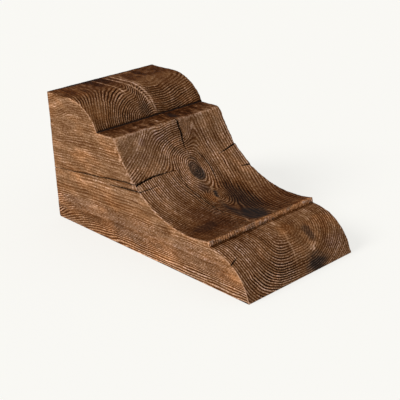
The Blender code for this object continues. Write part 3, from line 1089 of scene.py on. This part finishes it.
class Nodes:
    """Short names for building a material's nodes."""

    def __init__(self, material):
        material.use_nodes = True
        self.tree = material.node_tree
        self.shader = self.tree.nodes["Principled BSDF"]

    def add(self, kind, inputs=(), **settings):
        node = self.tree.nodes.new(kind)
        for key, value in settings.items():
            setattr(node, key, value)
        for key, value in dict(inputs).items():
            self.feed(node.inputs[key], value)
        return node

    def feed(self, socket, value):
        if isinstance(value, bpy.types.NodeSocket):
            self.tree.links.new(value, socket)
        else:
            socket.default_value = value

    def read(self, name):
        return self.add("ShaderNodeAttribute", attribute_name=name).outputs["Fac"]

    def math(self, operation, a, b=0.0, c=0.0, clamp=False):
        inputs = {0: a, 1: b, 2: c}
        return self.add("ShaderNodeMath", inputs, operation=operation, use_clamp=clamp).outputs[0]

    def times(self, a, b, clamp=False):
        return self.math("MULTIPLY", a, b, clamp=clamp)

    def swayed(self, base, noise, amount):
        """The base, raised and lowered by noise, which is 0.5 on average."""
        return self.math("MULTIPLY_ADD", self.math("SUBTRACT", noise, 0.5), amount, base)

    def span(self, value, low, high, to_low=0.0, to_high=1.0):
        """A smooth step from to_low at low to to_high at high."""
        inputs = {"Value": value, "From Min": low, "From Max": high, "To Min": to_low, "To Max": to_high}
        return self.add("ShaderNodeMapRange", inputs, interpolation_type="SMOOTHSTEP").outputs["Result"]

    def blend(self, share, a, b):
        return self.add("ShaderNodeMix", {0: share, 2: a, 3: b}, data_type="FLOAT").outputs[0]

    def tinted(self, share, colour, tint):
        return self.mix(share, colour, self.mix(1.0, colour, tint, "MULTIPLY"))

    def mix(self, share, a, b, blend="MIX"):
        node = self.add("ShaderNodeMix", {0: share, 6: a, 7: b}, data_type="RGBA", blend_type=blend)
        return node.outputs[2]

    def noise(self, stretch, detail, rough):
        """Noise over the block itself, with stretch cells in each metre along X, Y and Z."""
        where = self.add("ShaderNodeTexCoord").outputs["Object"]
        scaled = self.add("ShaderNodeVectorMath", {0: where, 1: stretch}, operation="MULTIPLY").outputs[0]
        inputs = {"Vector": scaled, "Scale": 1.0, "Detail": detail, "Roughness": rough}
        return self.add("ShaderNodeTexNoise", inputs).outputs["Fac"]

    def noise_over(self, value, scale):
        """Noise along one number, such as from ring to ring."""
        inputs = {"W": value, "Scale": scale, "Detail": 2.0}
        return self.add("ShaderNodeTexNoise", inputs, noise_dimensions="1D").outputs["Fac"]


# The timber's lightness in its grooves, between, on its ridges and where it is worn: the red it reflects.
GROOVE, WOOD, RIDGE, RAW_WOOD = 0.014, 0.205, 0.60, 0.72
# Green and blue follow from the red, as share * red ** power: dark timber is the warmer.
GREEN, BLUE = (0.715, 1.22), (0.66, 1.66)
# Blue-black of the stains, also painted as shade at the crown's rear edge and the ovolo's foot.
STAIN_AND_SHADE_COLOUR = (0.017, 0.0125, 0.0115, 1.0)
# Near-black painted shade in the cracks.
CRACK_SHADE = (0.006, 0.003, 0.002, 1.0)
ORANGE = (1.25, 0.98, 0.66, 1.0)
PURPLE = (0.88, 0.87, 1.02, 1.0)
RUST = (1.06, 0.80, 0.62, 1.0)
TIMBER_SHEEN = 0.03
FINE_RELIEF = 0.9
# How many cells the fibres, the grit and the blotches have in each metre along X, Y and Z.
FIBRE_CELLS = (50.0, 590.0, 590.0)
GRIT_CELLS = (330.0, 560.0, 560.0)
BLOTCH_CELLS = (30.0, 60.0, 60.0)


def make_timber():
    """Brown timber: ring lines, fibres, stains, worn edges, cracks and painted shade, led by the mesh's own
    numbers.
    """
    material = bpy.data.materials.new("timber_brown")
    n = Nodes(material)
    rings, grain = n.read("rings"), n.read("grain")
    fibres = n.noise(FIBRE_CELLS, 4.0, 0.7)
    grit = n.noise(GRIT_CELLS, 2.0, 0.6)
    blotches = n.noise(BLOTCH_CELLS, 3.0, 0.55)
    turn = n.times(n.swayed(rings, fibres, 0.55), 2.0 * math.pi)
    wave = n.math("MULTIPLY_ADD", n.math("COSINE", turn), -0.5, 0.5)
    each_ring = n.noise_over(rings, 0.9)

    strength = n.times(n.span(each_ring, 0.30, 0.6, 0.75, 1.15), n.span(grit, 0.30, 0.60, 0.80, 1.1))
    groove = n.times(n.times(n.span(wave, 0.10, 0.75, 1.0, 0.0), strength), grain, clamp=True)
    shine = n.times(n.times(n.span(wave, 0.45, 0.95), n.span(grit, 0.38, 0.62, 0.45, 1.0)), grain)
    red = n.blend(n.times(shine, n.span(each_ring, 0.35, 0.7, 0.5, 1.0)), WOOD, RIDGE)
    red = n.blend(n.span(fibres, 0.50, 0.72, 0.0, 0.50), red, RIDGE)
    red = n.blend(n.span(fibres, 0.30, 0.46, 0.55, 0.0), red, GROOVE)
    red = n.blend(groove, red, GROOVE)

    # Tone, with painted shade at the ovolo's foot, under the lip and along the crown's rear edge.
    tone = n.swayed(n.swayed(n.read("tone"), blotches, 1.6), grit, 3.4)
    tone = n.swayed(tone, n.noise_over(rings, 0.28), 1.5)
    red = n.times(red, n.math("POWER", 2.0, tone))

    frayed = n.times(n.read("worn"), n.span(grit, 0.36, 0.60, 0.45, 1.0))
    red = n.blend(n.times(frayed, n.span(wave, 0.0, 0.5, 0.7, 1.0)), red, RAW_WOOD)
    green = n.times(n.math("POWER", red, GREEN[1]), GREEN[0])
    blue = n.times(n.math("POWER", red, BLUE[1]), BLUE[0])
    colour = n.add("ShaderNodeCombineColor", {0: red, 1: green, 2: blue}).outputs[0]
    colour = n.tinted(n.span(red, 0.03, 0.22, 0.9, 0.0), colour, RUST)

    warm = n.swayed(n.read("warm"), blotches, 2.0)
    for share, tint in ((0.9, ORANGE), (-0.9, PURPLE)):
        colour = n.tinted(n.times(warm, share, clamp=True), colour, tint)
    # Stains, and the painted shade lines at the crown's rear edge and the ovolo's foot.
    colour = n.mix(n.times(n.read("stain_and_shade"), n.span(wave, 0.3, 1.0, 1.0, 0.86)), colour, STAIN_AND_SHADE_COLOUR)
    # Painted shade in the cracks.
    colour = n.mix(n.span(n.read("crack"), 0.15, 0.75), colour, CRACK_SHADE)

    n.feed(n.shader.inputs["Base Color"], colour)
    n.feed(n.shader.inputs["Roughness"], n.span(wave, 0.0, 1.0, 0.9, 0.7))
    n.shader.inputs["Metallic"].default_value = 0.0
    n.shader.inputs["Specular IOR Level"].default_value = TIMBER_SHEEN
    height = n.math("MULTIPLY_ADD", n.times(wave, grain), 0.8, n.times(fibres, 0.6))
    relief = n.add("ShaderNodeBump", {"Height": height, "Strength": 0.8, "Distance": FINE_RELIEF * MM})
    n.feed(n.shader.inputs["Normal"], relief.outputs["Normal"])
    return material


# The stage, the light and the camera

FLOOR_SIZE = 30.0
FLOOR_COLOUR = (0.24, 0.24, 0.235, 1.0)
FLOOR_GLOW = (1.0, 0.995, 0.965, 1.0)
FLOOR_GLOW_STRENGTH = 0.715
SKY_COLOUR = (1.0, 0.985, 0.95)
SKY_STRENGTH = 0.55
KEY_FROM = (-0.30, -0.76, 0.62)
KEY_STRENGTH = 2.2
KEY_COLOUR = (1.0, 0.97, 0.92)
KEY_SPREAD = math.radians(25.0)

CAMERA_PLACE = (0.8718, -0.7781, 0.5393)
CAMERA_TURN = (67.247, 2.088, 47.088)
CAMERA_LENS = 82.88
CAMERA_SENSOR = 36.0


def make_stage():
    half = FLOOR_SIZE / 2
    mesh = bpy.data.meshes.new("floor")
    corners = [(-half, -half, 0.0), (half, -half, 0.0), (half, half, 0.0), (-half, half, 0.0)]
    mesh.from_pydata(corners, [], [(0, 1, 2, 3)])
    floor = placed("floor", mesh)
    material = bpy.data.materials.new("floor_pale")
    n = Nodes(material)
    n.shader.inputs["Base Color"].default_value = FLOOR_COLOUR
    n.shader.inputs["Roughness"].default_value = 0.9
    n.shader.inputs["Specular IOR Level"].default_value = 0.0
    n.shader.inputs["Emission Color"].default_value = FLOOR_GLOW
    n.shader.inputs["Emission Strength"].default_value = FLOOR_GLOW_STRENGTH
    mesh.materials.append(material)


def make_light():
    world = bpy.data.worlds.new("studio")
    world.use_nodes = True
    background = world.node_tree.nodes["Background"]
    background.inputs["Color"].default_value = (*SKY_COLOUR, 1.0)
    background.inputs["Strength"].default_value = SKY_STRENGTH
    bpy.context.scene.world = world

    lamp = bpy.data.lights.new("key", "SUN")
    lamp.energy = KEY_STRENGTH
    lamp.color = KEY_COLOUR
    lamp.angle = KEY_SPREAD
    key = placed("key", lamp)
    key.rotation_euler = Vector(KEY_FROM).to_track_quat("Z", "Y").to_euler()


def make_camera():
    lens = bpy.data.cameras.new("camera")
    lens.lens = CAMERA_LENS
    lens.sensor_width = CAMERA_SENSOR
    camera = placed("camera", lens)
    camera.location = CAMERA_PLACE
    camera.rotation_euler = Euler([math.radians(angle) for angle in CAMERA_TURN])
    bpy.context.scene.camera = camera


make_camera()
make_stage()
make_light()
bpy.context.scene.view_settings.view_transform = "Standard"
make_corbel(make_timber())
